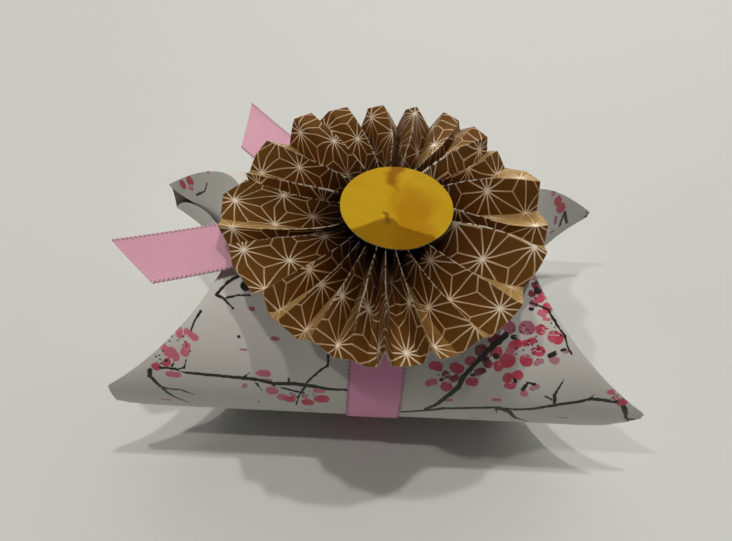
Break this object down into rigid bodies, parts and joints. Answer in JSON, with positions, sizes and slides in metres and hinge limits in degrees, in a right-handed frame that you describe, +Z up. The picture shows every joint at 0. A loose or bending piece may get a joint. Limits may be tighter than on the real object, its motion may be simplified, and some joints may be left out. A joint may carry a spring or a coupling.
{
  "type": "pillow gift box",
  "caption": "Folded paper pillow box with concave curved ends, a satin ribbon round its middle, a pleated paper rosette on top and a gold foil disc at the rosette's centre.",
  "frame": {"origin": "middle of the ribbon's underside, the flat that the box rests on", "axes": "+X along the box towards its right end, +Y to the back, +Z up through the rosette"},
  "size_m": [0.097, 0.0662, 0.0493],
  "materials": {
    "printed_paper": "smooth white paper with a blossom print",
    "satin_ribbon": "satin weave",
    "rosette_paper": "bronze brown paper with a cream line pattern",
    "gold_foil": "gold foil on card"
  },
  "bodies": {
    "root": {"pillow_box": "printed_paper", "ribbon": "satin_ribbon", "rosette": "rosette_paper", "gold_disc": "gold_foil"}
  },
  "joints": []
}
